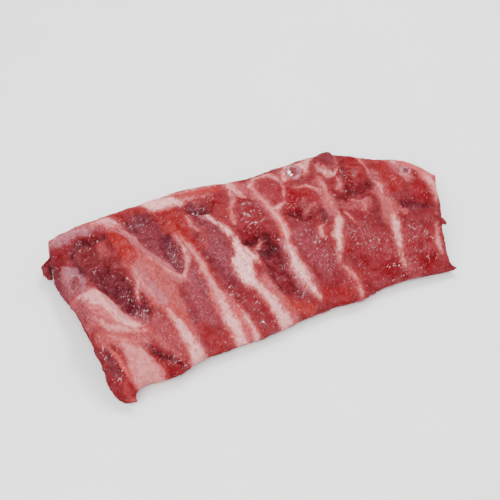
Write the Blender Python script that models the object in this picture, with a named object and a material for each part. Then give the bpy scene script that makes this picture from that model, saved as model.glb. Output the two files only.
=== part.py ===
"""A raw rack of pork ribs: one slab of meat on eight curved rib bones, with two cut stubs of backbone.

Plan sizes are in millimetres from a point near the middle of the rack: x runs along the row of ribs,
y across it towards the thick chine edge, and z up from the surface that the rack lies on.
"""

import math

import bmesh
import bpy
import numpy as np

MM = 0.001
CENTRE = (4.26, -14.64)  # plan point that becomes the origin, below the middle of the rack

# Outline seen from above: the two long cut edges, and how far the short ends bow outwards
CHINE_EDGE = (
    (-141, 48), (-115, 55), (-76, 60), (-25, 65), (12, 61),
    (50, 65), (86, 66), (117, 51), (145, 37), (159, 19),
)
LOWER_EDGE = (
    (-119, -97), (-111, -89), (-102, -86), (-82, -86), (-61, -79),
    (-14, -74), (43, -65), (66, -65), (80, -61), (138, -60),
)
LEFT_BOW = ((0, 0), (0.2, -7), (0.45, -6), (0.75, -6), (0.93, -6), (1, 0))
RIGHT_BOW = ((0, 0), (0.35, -1), (0.7, -3), (1, 0))

# Section across the rack
THICKNESS = ((0, 31), (0.3, 24), (0.6, 19), (1, 13.5))
THINNER_RIGHT = 0.12  # share by which the right end is thinner
ARCH_LEFT, ARCH_RIGHT = 15, 8  # rise of the under side between its two feet
FOOT, TOE = 0.13, 0.95  # the under side is flat on the table before and past these shares of the width
UNDER_END, UNDER_CHINE, UNDER_LOWER = 0.004, 0.01, 0.04  # how far the cut faces lean in, as shares
RIM_CHINE, RIM_LOWER, RIM_END = 8, 7, 8  # how wide the rounded rims are
RIM_DEPTH = 5
BEVEL_WIDE, BEVEL_DEEP = 22, 17  # the slanting cut at the left end, which opens the first rib
WALL_BULGE = 1.5

# A loose scrap of meat that curls out of the left end: x, y, z and radius along it
SCRAP = (
    (-139, 39, 12, 3.4), (-144, 40, 11.5, 2.8), (-147.5, 39, 10.5, 2.3),
    (-149.3, 35.5, 9.5, 2.0), (-148.6, 31.5, 8.5, 1.7), (-146, 29, 8, 1.1),
)
SCRAP_SIDES = 10

# Ribs
RIB_COUNT = 8
FIRST_RIB_X = -102
WIDEST_GAP, GAP_STEP = 39, 3
RIB_TOP_X = (-134, -99, -60, -22, 25, 76, 109, 135)
FIRST_RIB_TOP_Y = 8  # the first rib is cut short, and comes out through the slanting cut
FIRST_RIB_LIFT = 7
RIDGE_HIGH, RIDGE_WIDE = 3.5, 8
KEEL_DEEP, KEEL_WIDE = 2.5, 8
BONE_WIDE, BONE_HIGH = 12, 6.2
HEAD_WIDE, HEAD_HIGH = 15, 10.5
BONE_DEPTH = 0.36  # height of a bone's middle in the slab, as a share of the thickness
BONE_SIDES, BONE_RINGS = 12, 9
OVERRUN = 6  # a bone is drawn this much past the edges, and then cut flush
FIT_GAP = 0.3

# Backbone stubs in the upper face: x, y, radius at the top
STUBS = ((53, 54, 7.0), (138, 29, 5.0))
STUB_SIDES, STUB_DEEP, STUB_TAPER = 14, 7, 0.8

# Muscles that stand up, and hollows between them: x, y, half length, half width, turn in degrees, height
MUSCLES = (
    (-91, 20, 22, 9, -72, 3.5),
    (-48, 33, 20, 10, 76, 3.0),
    (-31, 2, 38, 13, -81, 2.5),
    (-11, 30, 18, 8, 80, 2.0),
    (5, 24, 21, 13, -80, 3.0),
    (29, 41, 15, 11, 75, 3.5),
    (50, 21, 16, 13, -60, 2.5),
    (81, 54, 14, 10, 65, 6.5),
    (98, 36, 20, 13, -65, 6.0),
    (121, 27, 21, 10, -75, 3.0),
    (137, 10, 14, 11, -70, 2.5),
)
HOLLOWS = (
    (-116, 24, 22, 13, 45, -7.0),
    (-107, -18, 30, 11, -75, -5.5),
    (-68, 14, 38, 13, -72, -4.5),
    (-26, 42, 12, 10, 10, -5.5),
    (3, -3, 12, 11, 0, -6.5),
    (10, -20, 18, 9, -65, -5.0),
    (51, 4, 11, 9, 0, -4.0),
    (89, 14, 19, 7, 12, -5.0),
    (129, -8, 18, 7, -15, -3.5),
)

# The grid that the slab is drawn on
COLUMNS, ROWS, WALL_ROWS = 84, 30, 2
CROWDING = 0.45  # how much closer the grid lines stand near the rims


def through(knots, x):
    """A smooth curve y(x) through the knots."""
    kx, ky = np.array(knots, float).T
    slope = np.gradient(ky, kx)
    i = np.clip(np.searchsorted(kx, x) - 1, 0, len(kx) - 2)
    gap = kx[i + 1] - kx[i]
    q = (x - kx[i]) / gap
    return (
        (2 * q**3 - 3 * q**2 + 1) * ky[i]
        + (q**3 - 2 * q**2 + q) * gap * slope[i]
        + (3 * q**2 - 2 * q**3) * ky[i + 1]
        + (q**3 - q**2) * gap * slope[i + 1]
    )


def rising(x, low, high):
    """0 up to low, 1 from high, and smooth between them."""
    q = np.clip((x - low) / (high - low), 0, 1)
    return q * q * (3 - 2 * q)


def edge_points(edge, s):
    x = edge[0][0] + (edge[-1][0] - edge[0][0]) * s
    return x, through(edge, x)


def plan(s, t):
    """Plan position at share s along the rack and share t across it, from chine edge to lower edge."""
    chine_x, chine_y = edge_points(CHINE_EDGE, s)
    lower_x, lower_y = edge_points(LOWER_EDGE, s)
    bow = (1 - s) * through(LEFT_BOW, t) + s * through(RIGHT_BOW, t)
    return chine_x * (1 - t) + lower_x * t + bow, chine_y * (1 - t) + lower_y * t


def shares_at(x, y):
    """The shares s and t of a plan position: the inverse of plan."""
    s, t = 0.5, 0.5
    for _ in range(30):
        there_x, there_y = plan(np.float64(s), np.float64(t))
        right_x, _ = plan(np.float64(1), np.float64(t))
        left_x, _ = plan(np.float64(0), np.float64(t))
        chine_y = edge_points(CHINE_EDGE, np.float64(s))[1]
        lower_y = edge_points(LOWER_EDGE, np.float64(s))[1]
        s = min(max(s + (x - there_x) / (right_x - left_x), 0), 1)
        t = min(max(t + (y - there_y) / (lower_y - chine_y), 0), 1)
    return s, t


def arch(s, t):
    """Height of the under side between its two feet."""
    q = np.clip((t - FOOT) / (TOE - FOOT), 0, 1)
    return (ARCH_LEFT + (ARCH_RIGHT - ARCH_LEFT) * s) * (1 - (2 * q - 1) ** 2)


def thickness(s, t):
    return through(THICKNESS, t) * (1 - THINNER_RIGHT * s)


def rim_fall(s, t):
    """How far the upper face has fallen near the rim, where it is rounded off."""
    length, width = 300 - 40 * t, 148 - 65 * s
    end = np.clip(1 - np.minimum(s, 1 - s) * length / RIM_END, 0, 1)
    side = np.clip(1 - t * width / RIM_CHINE, 0, 1) + np.clip(1 - (1 - t) * width / RIM_LOWER, 0, 1)
    return RIM_DEPTH * (1 - np.sqrt(1 - np.minimum(end**2 + side**2, 1)))


def bevel_fall(s, t):
    """How far the slanting cut at the left end has fallen."""
    opened = rising(t, 0.06, 0.2) * (1 - rising(t, 0.4, 0.62))
    slant = np.clip(1 - s * (300 - 40 * t) / BEVEL_WIDE, 0, 1)
    return BEVEL_DEEP * opened * slant**1.2


def rib_lines():
    """The two plan ends of each rib's middle line, from the lower edge to the chine edge."""
    low_x, gap = float(FIRST_RIB_X), WIDEST_GAP
    lines = []
    for top_x in RIB_TOP_X:
        low_y = float(through(LOWER_EDGE, np.float64(low_x)))
        top_y = float(through(CHINE_EDGE, np.float64(top_x)))
        lines.append(((low_x, low_y), (top_x, top_y)))
        low_x, gap = low_x + gap, gap - GAP_STEP
    lines[0] = (lines[0][0], (RIB_TOP_X[0], FIRST_RIB_TOP_Y))
    return lines


def line_distance(x, y, line):
    """Distance from a plan line, which counts as endless."""
    (ax, ay), (bx, by) = line
    long = math.hypot(bx - ax, by - ay)
    return np.abs((x - ax) * (by - ay) - (y - ay) * (bx - ax)) / long


def dome(x, y, pad):
    """Height of an oval pad with steep sides, or of a hollow where its height is negative."""
    px, py, half_long, half_wide, turn, high = pad
    c, s = math.cos(math.radians(turn)), math.sin(math.radians(turn))
    along, across = (x - px) * c + (y - py) * s, (y - py) * c - (x - px) * s
    r2 = (along / half_long) ** 2 + (across / half_wide) ** 2
    return high * np.clip(1 - r2, 0, 1) ** 0.75


def top_relief(x, y, t):
    ridges = [np.exp(-((line_distance(x, y, line) / RIDGE_WIDE) ** 2)) for line in rib_lines()]
    relief = RIDGE_HIGH * np.max(ridges, axis=0) * rising(t, 0.2, 0.5)
    for pad in MUSCLES + HOLLOWS:
        relief = relief + dome(x, y, pad)
    return relief


def top_height(s, t):
    x, y = plan(s, t)
    length, width = 300 - 40 * t, 148 - 65 * s
    fall = np.maximum(rim_fall(s, t), bevel_fall(s, t))
    inside = np.minimum(np.minimum(s, 1 - s) * length, np.minimum(t, 1 - t) * width)
    return arch(s, t) + thickness(s, t) + top_relief(x, y, t) * rising(inside, -4, 7) - fall


def under_height(s, t):
    """The under side: ribs stand down from the arch, and its feet are flat."""
    x, y = plan(s, t)
    ribs = np.max([np.exp(-((line_distance(x, y, line) / KEEL_WIDE) ** 2)) for line in rib_lines()], axis=0)
    high = arch(s, t)
    return high - KEEL_DEEP * (ribs - 0.5) * rising(high, 0, 5)


def crowded(count):
    """Shares from 0 to 1 that stand closer near both ends."""
    q = np.linspace(0, 1, count + 1)
    return q - CROWDING * np.sin(2 * math.pi * q) / (2 * math.pi)


def top_at(i, j):
    """Number of the upper point in column i and row j."""
    return i * (ROWS + 1) + j


def under_at(i, j):
    """Number of the under point below that upper point: the lower grid is half as fine."""
    return (COLUMNS + 1) * (ROWS + 1) + (i // 2) * (ROWS // 2 + 1) + j // 2


def grid_points():
    share_s, share_t = np.meshgrid(crowded(COLUMNS), crowded(ROWS), indexing="ij")
    upper = np.stack([*plan(share_s, share_t), top_height(share_s, share_t)], -1)
    under_s = UNDER_END + (1 - 2 * UNDER_END) * share_s[::2, ::2]
    under_t = UNDER_CHINE + (1 - UNDER_CHINE - UNDER_LOWER) * share_t[::2, ::2]
    under = np.stack([*plan(under_s, under_t), under_height(under_s, under_t)], -1)
    return [tuple(p) for p in upper.reshape(-1, 3)] + [tuple(p) for p in under.reshape(-1, 3)]


def grid_faces():
    faces = []
    for i in range(COLUMNS):
        for j in range(ROWS):
            faces.append((top_at(i, j), top_at(i, j + 1), top_at(i + 1, j + 1), top_at(i + 1, j)))
    for i in range(0, COLUMNS, 2):
        for j in range(0, ROWS, 2):
            faces.append((under_at(i, j), under_at(i + 2, j), under_at(i + 2, j + 2), under_at(i, j + 2)))
    return faces


def rim_loop():
    """Columns and rows once round the rim, anticlockwise from above."""
    loop = [(0, j) for j in range(ROWS)] + [(i, ROWS) for i in range(COLUMNS)]
    return loop + [(COLUMNS, j) for j in range(ROWS, 0, -1)] + [(i, 0) for i in range(COLUMNS, 0, -1)]


def wall_ring(points, loop, share):
    """Points once round the wall, at that share of the way from the upper rim to the lower one."""
    ring = []
    for k, at in enumerate(loop):
        even = k - k % 2
        foot_a = np.array(points[under_at(*loop[even])])
        foot_b = np.array(points[under_at(*loop[(even + 2) % len(loop)])])
        foot = foot_a + (foot_b - foot_a) * (k % 2) / 2
        head = np.array(points[top_at(*at)])
        out = (head - (*CENTRE, 0)) * (1, 1, 0)
        out = out / np.linalg.norm(out)
        ring.append(tuple(head + (foot - head) * share + out * WALL_BULGE * math.sin(math.pi * share)))
    return ring


def wall_faces(rings, loop):
    """Faces down the wall, with a last row that meets the coarser lower rim."""
    faces = []
    count = len(loop)
    for high, low in zip(rings, rings[1:]):
        for k in range(count):
            after = (k + 1) % count
            faces.append((high[k], low[k], low[after], high[after]))
    last = rings[-1]
    for k in range(0, count, 2):
        a, b = under_at(*loop[k]), under_at(*loop[(k + 2) % count])
        middle, after = last[k + 1], last[(k + 2) % count]
        faces += [(last[k], a, middle), (a, b, middle), (middle, b, after)]
    return faces


def slab_mesh():
    """The closed slab: a fine upper grid, a lower grid half as fine, and walls between their rims."""
    points = grid_points()
    loop = rim_loop()
    rings = [[top_at(*at) for at in loop]]
    for row in range(1, WALL_ROWS + 1):
        rings.append(list(range(len(points), len(points) + len(loop))))
        points += wall_ring(points, loop, row / (WALL_ROWS + 1))
    return points, grid_faces() + wall_faces(rings, loop)


def in_metres(points):
    return [((x - CENTRE[0]) * MM, (y - CENTRE[1]) * MM, z * MM) for x, y, z in points]


def make_object(name, points, faces, material):
    mesh = bpy.data.meshes.new(name)
    mesh.from_pydata(in_metres(points), [], faces)
    shape = bmesh.new()
    shape.from_mesh(mesh)
    bmesh.ops.recalc_face_normals(shape, faces=shape.faces)
    shape.to_mesh(mesh)
    shape.free()
    mesh.shade_smooth()
    mesh.set_sharp_from_angle(angle=math.radians(50))
    made = bpy.data.objects.new(name, mesh)
    bpy.context.scene.collection.objects.link(made)
    if material:
        made.data.materials.append(material)
    return made


def tube(rings):
    """Points and faces of a closed tube through rings of points."""
    sides = len(rings[0])
    points = [p for ring in rings for p in ring]
    faces = [tuple(range(sides)), tuple(range(len(points) - 1, len(points) - sides - 1, -1))]
    for r in range(len(rings) - 1):
        for k in range(sides):
            after = (k + 1) % sides
            faces.append((r * sides + k, r * sides + after, (r + 1) * sides + after, (r + 1) * sides + k))
    return points, faces


def rib_tube(line, lift, grow):
    """One long rib bone along its line, in the middle of the slab, with a thicker head at the chine end."""
    (ax, ay), (bx, by) = line
    long = math.hypot(bx - ax, by - ay)
    dx, dy = (bx - ax) / long, (by - ay) / long
    rings = []
    for r in range(BONE_RINGS):
        along = -OVERRUN + (long + 2 * OVERRUN) * r / (BONE_RINGS - 1)
        x, y = ax + dx * along, ay + dy * along
        s, t = shares_at(x, y)
        head = float(rising(np.float64(along / long), 0.72, 1.0))
        middle = float(arch(s, t) + thickness(s, t) * BONE_DEPTH) + lift * head
        half_wide = (BONE_WIDE + (HEAD_WIDE - BONE_WIDE) * head) / 2 + grow
        half_high = (BONE_HIGH + (HEAD_HIGH - BONE_HIGH) * head) / 2 + grow
        ring = []
        for k in range(BONE_SIDES):
            angle = 2 * math.pi * k / BONE_SIDES
            side = half_wide * math.cos(angle)
            ring.append((x - dy * side, y + dx * side, middle + half_high * math.sin(angle)))
        rings.append(ring)
    return tube(rings)


def scrap_tube():
    rings = []
    for n, (x, y, z, radius) in enumerate(SCRAP):
        before, after = SCRAP[max(n - 1, 0)], SCRAP[min(n + 1, len(SCRAP) - 1)]
        heading = math.atan2(after[1] - before[1], after[0] - before[0])
        ring = []
        for k in range(SCRAP_SIDES):
            angle = 2 * math.pi * k / SCRAP_SIDES
            side, rise = radius * math.cos(angle), radius * math.sin(angle)
            ring.append((x - math.sin(heading) * side, y + math.cos(heading) * side, z + rise))
        rings.append(ring)
    return tube(rings)


def stub_tube(stub, grow, top):
    """A tapered plug of backbone that reaches the upper face."""
    x, y, radius = stub
    s, t = shares_at(x, y)
    surface = float(top_height(np.float64(s), np.float64(t)))
    rings = []
    for z, wide in ((surface - STUB_DEEP - grow, radius * STUB_TAPER), (surface + top, radius)):
        ring = []
        for k in range(STUB_SIDES):
            angle = 2 * math.pi * k / STUB_SIDES
            ring.append((x + (wide + grow) * math.cos(angle), y + (wide + grow) * math.sin(angle), z))
        rings.append(ring)
    return tube(rings)


def make_material(name, colour, roughness):
    material = bpy.data.materials.new(name)
    material.use_nodes = True
    shader = material.node_tree.nodes["Principled BSDF"]
    shader.inputs["Base Color"].default_value = (*colour, 1)
    shader.inputs["Roughness"].default_value = roughness
    shader.inputs["Metallic"].default_value = 0
    return material


def as_guide(guide):
    guide.hide_render = True
    guide.display_type = "WIRE"
    return guide


def combine(piece, operation, other):
    """Joins, cuts or trims a piece by another object, or by all in a collection."""
    step = piece.modifiers.new(operation.lower(), "BOOLEAN")
    step.operation = operation
    step.solver = "EXACT"
    if isinstance(other, bpy.types.Collection):
        step.operand_type = "COLLECTION"
        step.collection = other
    else:
        step.object = other


def main():
    for old in list(bpy.data.objects):
        bpy.data.objects.remove(old)
    meat_red = make_material("raw_meat", (0.42, 0.045, 0.055), 0.35)
    bone_white = make_material("bone", (0.62, 0.50, 0.50), 0.5)

    points, faces = slab_mesh()
    meat = make_object("meat", points, faces, meat_red)
    blank = as_guide(make_object("slab_guide", points, faces, None))
    channels = bpy.data.collections.new("channels")
    bpy.context.scene.collection.children.link(channels)

    lifts = [FIRST_RIB_LIFT] + [0] * (RIB_COUNT - 1)
    pairs = zip(rib_lines(), lifts)
    shapes = [(f"rib_bone_{n}", rib_tube, pair) for n, pair in enumerate(pairs, 1)]
    shapes += [(f"backbone_stub_{n}", stub_tube, (stub,)) for n, stub in enumerate(STUBS, 1)]
    for name, build, what in shapes:
        above = (8,) if build is stub_tube else ()
        bone = make_object(name, *build(*what, 0, *above), bone_white)
        combine(bone, "INTERSECT", blank)
        channel = as_guide(make_object(name + "_channel", *build(*what, FIT_GAP, *above), None))
        bpy.context.scene.collection.objects.unlink(channel)
        channels.objects.link(channel)

    scrap = as_guide(make_object("scrap_guide", *scrap_tube(), None))
    combine(meat, "UNION", scrap)
    combine(meat, "DIFFERENCE", channels)


main()
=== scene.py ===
"""The looks of the raw rack of ribs: wet red meat, pale fat and gristle over the ribs, and cut bone.

The slab is drawn again on a finer grid by the same rules as the CAD solid, with the creases, lumps and
seams of the real rack on top, and its colours are painted in strokes laid out in plan millimetres.
"""

import math

import bpy
import numpy as np
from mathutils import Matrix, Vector
from mathutils.bvhtree import BVHTree


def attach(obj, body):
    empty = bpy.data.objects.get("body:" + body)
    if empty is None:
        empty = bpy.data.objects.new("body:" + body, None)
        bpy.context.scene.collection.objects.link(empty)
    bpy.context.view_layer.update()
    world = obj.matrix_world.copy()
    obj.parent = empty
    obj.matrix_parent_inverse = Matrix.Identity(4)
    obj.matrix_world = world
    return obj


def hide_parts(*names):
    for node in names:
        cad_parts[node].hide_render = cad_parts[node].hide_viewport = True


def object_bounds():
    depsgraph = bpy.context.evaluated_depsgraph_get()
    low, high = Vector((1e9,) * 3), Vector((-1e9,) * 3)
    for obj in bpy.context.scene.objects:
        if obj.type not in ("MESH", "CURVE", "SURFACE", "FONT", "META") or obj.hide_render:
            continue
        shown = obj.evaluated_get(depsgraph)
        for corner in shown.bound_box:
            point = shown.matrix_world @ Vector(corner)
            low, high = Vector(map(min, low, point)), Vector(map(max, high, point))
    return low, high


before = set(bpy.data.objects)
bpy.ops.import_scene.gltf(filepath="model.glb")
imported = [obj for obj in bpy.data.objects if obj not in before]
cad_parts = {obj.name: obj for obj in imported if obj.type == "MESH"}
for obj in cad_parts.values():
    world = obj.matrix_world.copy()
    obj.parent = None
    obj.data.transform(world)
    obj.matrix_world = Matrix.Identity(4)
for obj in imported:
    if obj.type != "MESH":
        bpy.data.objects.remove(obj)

CAD_BOX = [list(corner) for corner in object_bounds()]

MM = 0.001
CENTRE = (4.26, -14.64)  # plan point that becomes the origin, below the middle of the rack

# Outline seen from above: the two long cut edges, and how far the short ends bow outwards
CHINE_EDGE = (
    (-141, 48), (-115, 55), (-76, 60), (-25, 65), (12, 61),
    (50, 65), (86, 66), (117, 51), (145, 37), (159, 19),
)
LOWER_EDGE = (
    (-119, -97), (-111, -89), (-102, -86), (-82, -86), (-61, -79),
    (-14, -74), (43, -65), (66, -65), (80, -61), (138, -60),
)
LEFT_BOW = ((0, 0), (0.2, -7), (0.45, -6), (0.75, -6), (0.93, -6), (1, 0))
RIGHT_BOW = ((0, 0), (0.35, -1), (0.7, -3), (1, 0))

# Rough length and width of the slab: the length is less at the lower edge, the width at the right end
LENGTH, LENGTH_LESS, WIDTH, WIDTH_LESS = 300, 40, 148, 65

# Section across the rack
THICKNESS = ((0, 31), (0.3, 24), (0.6, 19), (1, 13.5))
THINNER_RIGHT = 0.12  # share by which the right end is thinner
ARCH_LEFT, ARCH_RIGHT = 15, 8  # rise of the under side between its two feet
FOOT, TOE = 0.13, 0.95  # the under side is flat on the table before and past these shares of the width
UNDER_END, UNDER_CHINE, UNDER_LOWER = 0.004, 0.01, 0.04  # how far the cut faces lean in, as shares
RIM_CHINE, RIM_LOWER, RIM_END = 8, 7, 8  # how wide the rounded rims are
RIM_DEPTH = 5  # how far the upper face falls at its outer line
BEVEL_WIDE, BEVEL_DEEP = 22, 17  # the slanting cut at the left end, which opens the first rib
WALL_BULGE = 1.5  # how far the cut faces swell out
BELOW = 2.0  # marks the points of the under side; 0 marks the upper face, and the walls are in between

# Ribs
RIB_COUNT = 8
FIRST_RIB_X = -102
WIDEST_GAP, GAP_STEP = 39, 3
RIB_TOP_X = (-134, -99, -60, -22, 25, 76, 109, 135)
FIRST_RIB_TOP_Y = 8  # the first rib is cut short, and comes out through the slanting cut
FIRST_RIB_LIFT = 7
RIDGE_HIGH, RIDGE_WIDE = 3.5, 8
KEEL_DEEP, KEEL_WIDE = 2.5, 8
BONE_WIDE, BONE_HIGH = 12, 6.2
HEAD_WIDE, HEAD_HIGH = 15, 10.5
BONE_DEPTH = 0.36  # height of a bone's middle in the slab, as a share of the thickness
SEARCH_ROUNDS = 30  # steps in finding the shares of a plan position

# Backbone stubs in the upper face: x, y, radius at the top
STUBS = ((53, 54, 7.0), (138, 29, 5.0))
STUB_DEEP, STUB_TAPER = 7, 0.8

# Muscles that stand up, and hollows between them: x, y, half length, half width, turn in degrees, height
MUSCLES = (
    (-91, 20, 22, 9, -72, 3.5),
    (-48, 33, 20, 10, 76, 3.0),
    (-31, 2, 38, 13, -81, 2.5),
    (-11, 30, 18, 8, 80, 2.0),
    (5, 24, 21, 13, -80, 3.0),
    (29, 41, 15, 11, 75, 3.5),
    (50, 21, 16, 13, -60, 2.5),
    (81, 54, 14, 10, 65, 6.5),
    (98, 36, 20, 13, -65, 6.0),
    (121, 27, 21, 10, -75, 3.0),
    (137, 10, 14, 11, -70, 2.5),
)
HOLLOWS = (
    (-116, 24, 22, 13, 45, -7.0),
    (-107, -18, 30, 11, -75, -5.5),
    (-68, 14, 38, 13, -72, -4.5),
    (-26, 42, 12, 10, 10, -5.5),
    (3, -3, 12, 11, 0, -6.5),
    (10, -20, 18, 9, -65, -5.0),
    (51, 4, 11, 9, 0, -4.0),
    (89, 14, 19, 7, 12, -5.0),
    (129, -8, 18, 7, -15, -3.5),
)

# The finer grid of the looks, and how deep its extra relief is
COLUMNS, ROWS, WALL_ROWS = 400, 170, 6
CROWDING = 0.3  # how much closer the grid stands near the rim
LUMPS, RIPPLES, FIBRES, FAT_RAISED = 0.7, 0.35, 0.16, 0.5
RAGGED, RIM_TORN = 1.1, 0.5  # roughness of the cut faces, and of their upper line
GRAIN_GAP, GRAIN_LONG = 33, 3  # usual gap between ribs, and how much longer than wide a fibre is
FINER = 0.55  # how strong each finer step of noise is, against the step before
# Where corners of the slab are drawn out to a tip: x, y, how far in x and y, and from how near
TIPS = ((-119, -97, 5.0, 0, 11), (138, -60, 4.5, 0, 8))

# Crisp steps in the upper face: height, half width of the slope, then x, y and half width
STEPS = (
    (-1.6, 1.0, ((-118, 32, 8), (-118, 18, 9), (-115, 2, 9))),
    (-1.5, 1.5, ((-112, -4, 8), (-106, -14, 9), (-99, -28, 9), (-92, -42, 6))),
    (1.2, 1.2, ((-97, 38, 4), (-93, 22, 6), (-90, 6, 5))),
    (-1.2, 1.2, ((-60, 14, 4), (-57, -2, 5), (-58, -13, 3))),
    (-0.9, 1.5, ((-86, 42, 5), (-74, 40, 6), (-66, 38, 6))),
    (1.0, 1.2, ((-50, 46, 5), (-47, 30, 8), (-46, 14, 5))),
    (0.9, 1.8, ((-30, 26, 6), (-30, 8, 9), (-27, -14, 10), (-22, -28, 6))),
    (-1.5, 1.2, ((-33, 45, 4), (-24, 43, 5), (-22, 35, 3))),
    (0.9, 0.8, ((-13, -16, 4), (-14, -31, 5), (-11, -38, 2))),
    (0.7, 1.2, ((-12, 44, 5), (-12, 30, 5), (-10, 18, 3))),
    (-2.2, 1.0, ((-5, -7, 3), (3, -3, 5), (10, -2, 3))),
    (-1.6, 1.5, ((8, -14, 7), (9, -30, 6), (12, -46, 5))),
    (1.3, 0.9, ((25, 47, 7), (33, 45, 7), (31, 35, 7))),
    (0.9, 1.2, ((42, 36, 4), (43, 24, 5))),
    (-1.4, 1.0, ((37, 9, 3), (48, 9, 3.5))),
    (1.0, 1.0, ((57, 33, 5), (58, 23, 5))),
    (2.0, 0.9, ((80, 60, 7), (81, 51, 6.5))),
    (1.8, 0.9, ((98, 52, 6), (98, 40, 8), (97, 28, 7))),
    (-2.0, 0.8, ((77, 16, 0.8), (86, 18.5, 1.2), (96, 19.5, 1.2), (105, 18, 0.8))),
    (1.0, 1.2, ((119, 45, 4), (122, 30, 7), (125, 14, 6))),
    (0.9, 1.0, ((141, 12, 5), (139, 2, 5))),
    (-1.2, 1.2, ((114, -5, 2), (128, -8, 3), (142, -11, 2))),
    (-1.5, 0.7, ((-101, -66, 0.5), (-92, -71, 1.4), (-84, -75, 0.5))),
    (-1.2, 0.9, ((-127, -62, 2), (-122, -76, 3))),
    (1.0, 0.8, ((-104, -70, 5), (-101, -84, 8))),
)

# Bones: points round and along each, rings of a cut end, how far its middle stands out, how uneven
# the ovals are, and how deep a bone stays under the slab's skin
BONE_SIDES, BONE_RINGS = 24, 14
CAP_SHARES = (1.0, 0.85, 0.7, 0.55, 0.4, 0.25, 0.08)
CAP_PROUD, UNEVEN, SUNK = 0.5, 0.2, 0.5
LOW_START, TOP_START = 8, 12  # a rib's first and last whole rings lie this far inside its two ends
HEAD_FROM = 0.72  # share of a rib's length from which it widens to its head
HEAD_MARROW = 0.68  # rib 1 is cut nearer its head, so its marrow fills more of the cut

# The loose scrap at the left end, plumper than the part's, and a small flap of meat that stands out
# at the right end: x, y, z and radius along each
CURL = (
    (-138, 38, 12, 4.4), (-143, 38.5, 11.5, 3.8), (-146.3, 36.5, 10.5, 3.6),
    (-147.4, 33, 9.5, 3.6), (-146.8, 29.6, 8.5, 3.0), (-145.4, 27.2, 8, 1.6),
)
NIB = ((141, -13, 12, 3.5), (147, -15, 11.5, 3.2), (150.5, -17.5, 10.5, 2.2), (152, -20, 9.5, 0.9))
CURL_RINGS, CURL_SIDES, NIB_RINGS, NIB_SIDES = 30, 20, 12, 14
STRAND_ROUGH = 0.3  # how uneven their skin is, as a share of the radius
STRAND_NUMBERS = (-4.0, 0, 0.2, 0.3)  # how deep in fat, how pale, how much film and how wet both are

# The photo's view: turn about the vertical and rise in degrees, lens and sensor in mm, metres away
CAMERA_TURN, CAMERA_RISE, CAMERA_LENS, CAMERA_SENSOR = -19, 50, 85, 36
CAMERA_FAR, CAMERA_TARGET_Z = 0.88, 0.015

# Studio lamps: name, turn, rise, distance, size in metres, watts, and whether it lights and is mirrored
LAMPS = (
    ("key", 140, 60, 1.3, 0.5, 15, True, False),
    ("spark_back", 160, 48, 1.2, 0.12, 22, False, True),
    ("spark_left", -150, 48, 1.2, 0.12, 18, False, True),
    ("spark_right", 100, 50, 1.2, 0.12, 18, False, True),
    ("soft_over", -35, 55, 1.5, 1.2, 30, True, False),
)
WORLD_LIGHT = 0.85  # even white light from all sides, which is not mirrored
FLOOR_HALF = 3.0  # metres

# How the render's usual tone curve shows grey: light in doublings, and the screen level it becomes
TONE_LIGHT = (-9, -6.3, -4.65, -3.6, -2.5, -1.4, -0.3, 0.8, 1.9, 3)
TONE_SHOWN = (2, 23, 50, 79, 117, 157, 189, 213, 231, 245)
TONE_MIX_IN, TONE_MIX_OUT, TONE_TINT = 0.18, 0.24, (1.06, 0.88, 1.08)
DARKEST, PALEST = 0.002, 0.9  # limits of every base colour
EXPOSURE = 2.85  # how bright white paper is in this studio

# Colours of the parts of raw meat, and of painted shade, painted sheen and painted glints, as they show on
# screen
# DARK is laid only as painted shade, in a crease at the lower corner of the wide end
RED, WINE, DARK = (174, 56, 62), (150, 58, 68), (130, 44, 53)
BRIGHT, ORANGE, SALMON = (186, 56, 58), (202, 84, 78), (202, 116, 112)
PINK, PALE, LILAC = (194, 104, 110), (220, 162, 164), (190, 150, 156)
# The film tint also makes a faint painted sheen over all the flesh, and the glint tint is a painted
# highlight
CUT_FACE, FILM_AND_SHEEN_TINT, HALO, GLINT = (170, 54, 58), (214, 168, 172), (206, 112, 110), (244, 222, 220)
FAT_PINK, FAT_WHITE, FAT_STAIN = (210, 112, 114), (255, 210, 208), (202, 100, 100)
UNDER_MEAT, UNDER_DARK = (152, 52, 58), (128, 40, 48)
UNDER_PINK, UNDER_BONE = (206, 132, 128), (176, 156, 168)
MARROW, MARROW_PALE, BONE_RED = (166, 80, 86), (192, 120, 124), (190, 104, 108)
BONE_RING, BONE_PALE = (188, 140, 146), (208, 176, 178)
CURL_TINT, NIB_TINT = (150, 28, 34), (196, 76, 76)
FLOOR_TINTS = ((0.94, 0.94, 0.94, 1), (0.97, 0.97, 0.97, 1))  # as base colours, not as they show

# Wet glints: their slant in plan in degrees, how long and thin the painted and the mirrored ones are,
# and how far the mirrored ones lean
GLINT_TURN, PAINTED_GLINT_STRETCH, FACET_STRETCH, FACET_LEAN = 41, (4.0, 0.6, 1.3), (1.5, 0.6, 1.0), 0.8
MEAT_BUMP, BONE_BUMP = 0.0006, 0.0003  # depth of the finest relief, in metres
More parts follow.
